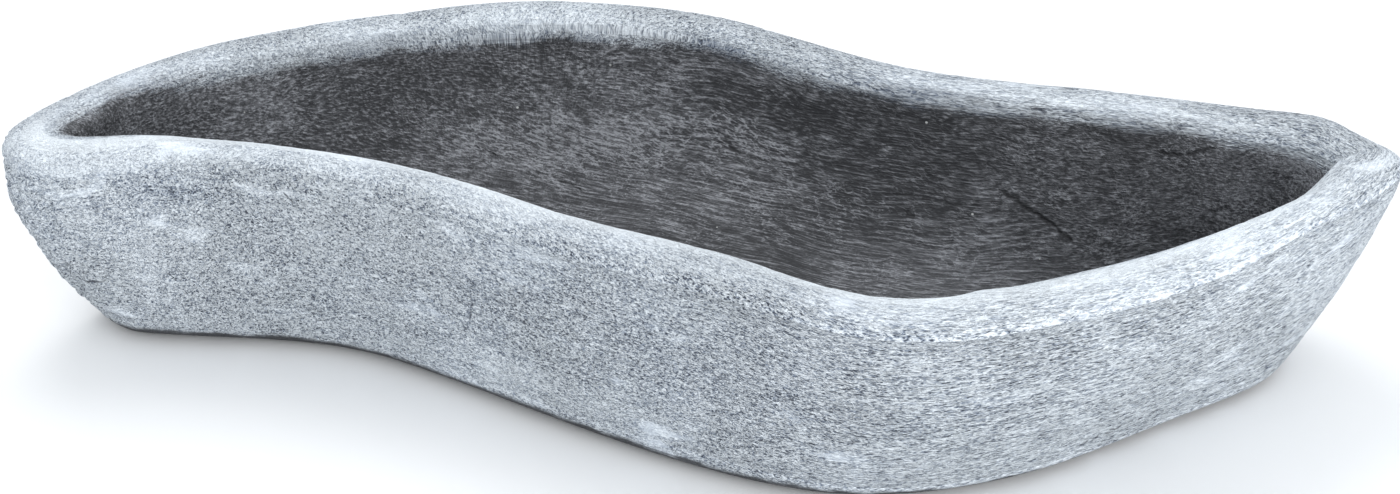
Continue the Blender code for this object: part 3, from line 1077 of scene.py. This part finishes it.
def bare_foot(read):
    """Where a dark strip runs along the ground, higher at the left: painted shade under the
    rounded foot, and partly stone the coat leaves bare.
    """
    ragged = centred(read.blots, 0.006) + centred(read.fine, 0.004)
    high = ranged(read.x, -0.05, 0.30, 0.0125, 0.0065)
    strip = ranged((read.z + ragged) / high, 0.75, 1.25, 1, 0)
    return strip * ranged(read.across, -0.03, -0.02, 1, 0)


def finished(shader, colour, rough, height, distance):
    """Feeds a shader its colour, its roughness and the bump of a height."""
    bump = output(
        colour.tree, "Normal", "ShaderNodeBump", {"Height": height, "Distance": distance}
    )
    for name, value in (("Base Color", colour), ("Roughness", rough), ("Normal", bump)):
        feed(shader.inputs[name], value)


def whitewashed_stone(coat, stone):
    """Whitewash that thins over the outer wall, and the bare charcoal stone it leaves inside."""
    made, tree, shader = blank_material("whitewashed_stone")
    read = casting_readings(tree, coat)
    cover, crinkles, edge = coat_cover(read, coat)
    bare, inner_height = bare_stone(read, stone)
    paint = ranged(cover, -0.05, 1.01, smooth=False)
    pits = ranged(cover, -0.34, -0.04, 1, 0)
    inner = ranged(edge, 0.010, 0.034)
    surface = blended(paint, blended(inner, coat.thin_paint, bare), coat.paint)
    surface = blended(pits, surface, blended(inner, coat.pit, bare))
    # Painted shade under the rounded foot, partly bare stone: a dark strip along the ground.
    surface = blended(bare_foot(read), surface, coat.foot)
    cracks = cracked(read.place)
    surface = blended(cracks * 0.9, surface, blended(inner, coat.pit, CRACK_SHADE))

    rough = ranged(paint, 0, 1, stone.roughness, coat.roughness, smooth=False)
    rough = reckon("ADD", rough, centred(read.grain, 0.08), clamp=True)
    outer_height = (crinkles + read.fine * 0.8 + read.hairs * 0.4) * coat.bump
    height = blended(inner, outer_height, inner_height, "FLOAT")
    finished(shader, surface, rough, height - cracks * (1.4 * coat.bump), 1)
    shader.inputs["Specular IOR Level"].default_value = 0.35
    return made


def moulded_rubber(look):
    """Black rubber with a moulded grain, a chalky bloom and stone dust on what faces up."""
    made, tree, shader = blank_material("moulded_rubber")
    place = output(tree, "Object", "ShaderNodeTexCoord")
    facing = split(output(tree, "Normal", "ShaderNodeNewGeometry"))[2]
    bloom = noise_of(place, 90, 4, 0.6)
    dust = placed(scattered_dots, place, spacing=0.0012, size=0.0006, share=0.5)[0]
    powder = dust * ranged(facing, 0.35, 0.95) * ranged(bloom, 0.40, 0.65)
    chalk = reckon("ADD", powder, ranged(bloom, 0.45, 0.75, 0, 0.35), clamp=True)
    rough = reckon("ADD", look.roughness, chalk * 0.35, clamp=True)
    skin = placed(crinkled_grain, place, size=look.grain)[0]
    finished(shader, blended(chalk, look.rubber, look.bloom), rough, skin + powder, look.bump)
    return made


def smooth_floor(look):
    """The pale floor, barely mottled."""
    made, tree, shader = blank_material("pale_floor")
    place = output(tree, "Object", "ShaderNodeTexCoord")
    cloud = ranged(noise_of(place, 1.5, 3, 0.5), 0.3, 0.7, 0.985, 1)
    feed(shader.inputs["Base Color"], output(
        tree, "Result", "ShaderNodeMix", {"Factor": 1, "A": tinted(look.floor), "B": cloud},
        data_type="RGBA", blend_type="MULTIPLY",
    ))
    shader.inputs["Roughness"].default_value = 0.8
    return made


# Operators


def soft_light(name, power, size, place, aim):
    """A square soft light turned to what it lights."""
    data = bpy.data.lights.new(name, "AREA")
    data.shape = "SQUARE"
    data.size = size
    data.energy = power
    lamp = new_object(name, data)
    lamp.location = place
    lamp.rotation_euler = (Vector(aim) - Vector(place)).to_track_quat("-Z", "Y").to_euler()
    lamp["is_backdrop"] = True


class PLANTER_OT_casting(Operator):
    """Shape the weathered casting and coat it with whitewash"""

    bl_idname = "planter.casting"
    bl_label = "Weathered casting"

    def execute(self, context):
        scene = context.scene
        casting = weathered_casting(scene.planter_casting)
        casting.data.materials.clear()
        casting.data.materials.append(whitewashed_stone(scene.planter_coat, scene.planter_stone))
        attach(casting, "planter")
        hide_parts("planter_body")
        return {"FINISHED"}


class PLANTER_OT_stoppers(Operator):
    """Mould the rubber stoppers that close the drains"""

    bl_idname = "planter.stoppers"
    bl_label = "Rubber stoppers"

    def execute(self, context):
        scene = context.scene
        shape = scene.planter_stopper
        rubber = moulded_rubber(scene.planter_rubber)
        for side, axis in zip(STOPPERS, drain_axes()):
            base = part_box(f"drain_stopper_{side}")[0].z + shape.shank_length
            stopper = moulded_stopper(f"stopper_{side}_moulded", axis, base, shape)
            stopper.data.materials.append(rubber)
            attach(stopper, f"stopper_{side}")
            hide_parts(f"drain_stopper_{side}")
        return {"FINISHED"}


class PLANTER_OT_stage(Operator):
    """Set the pale floor, the soft light and the camera"""

    bl_idname = "planter.stage"
    bl_label = "Floor, light and camera"

    def execute(self, context):
        scene = context.scene
        look = scene.planter_stage
        bm = bmesh.new()
        bmesh.ops.create_grid(bm, x_segments=8, y_segments=8, size=FLOOR_REACH)
        floor = new_object("floor", meshed("floor", bm))
        floor.data.materials.append(smooth_floor(look))
        floor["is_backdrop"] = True
        world = bpy.data.worlds.new("soft_sky")
        world.use_nodes = True
        sky = world.node_tree.nodes["Background"]
        sky.inputs["Color"].default_value = tinted(look.sky)
        sky.inputs["Strength"].default_value = look.sky_strength
        scene.world = world
        soft_light("overhead", look.key_power, *OVERHEAD_LIGHT)
        soft_light("side", look.fill_power, *SIDE_LIGHT)
        data = bpy.data.cameras.new("photo_view")
        data.sensor_width = SENSOR_WIDTH
        data.lens = SENSOR_WIDTH * look.distance / look.view_width
        data.clip_end = CLIP_DISTANCE
        camera = new_object("photo_view", data)
        back = Vector((0, -math.cos(look.elevation), math.sin(look.elevation)))
        camera.location = Vector(VIEW_CENTRE) + back * look.distance
        camera.rotation_euler = (math.pi / 2 - look.elevation, 0, 0)
        scene.camera = camera
        scene.view_settings.view_transform = "Standard"
        return {"FINISHED"}


class PLANTER_PT_panel(Panel):
    """Lists the planter's pieces and their sizes and colours"""

    bl_idname = "PLANTER_PT_panel"
    bl_label = "Trough planter"
    bl_space_type = "VIEW_3D"
    bl_region_type = "UI"
    bl_category = "Planter"

    def draw(self, context):
        for operator, names in (
            ("planter.casting", ("planter_casting", "planter_coat", "planter_stone")),
            ("planter.stoppers", ("planter_stopper", "planter_rubber")),
            ("planter.stage", ("planter_stage",)),
        ):
            box = self.layout.box()
            box.operator(operator)
            for name in names:
                for key in GROUPS[name].__annotations__:
                    box.prop(getattr(context.scene, name), key)


CLASSES = (
    *GROUPS.values(),
    PLANTER_OT_casting,
    PLANTER_OT_stoppers,
    PLANTER_OT_stage,
    PLANTER_PT_panel,
)


def register():
    for cls in CLASSES:
        bpy.utils.register_class(cls)
    for name, cls in GROUPS.items():
        setattr(bpy.types.Scene, name, PointerProperty(type=cls))


def unregister():
    for name in GROUPS:
        delattr(bpy.types.Scene, name)
    for cls in reversed(CLASSES):
        bpy.utils.unregister_class(cls)


def main():
    register()
    bpy.ops.planter.casting()
    bpy.ops.planter.stoppers()
    bpy.ops.planter.stage()
    sizes = {
        "cad": [list(corner) for corner in cad_box],
        "visual": [list(corner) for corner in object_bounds()],
    }


if __name__ == "__main__":
    main()
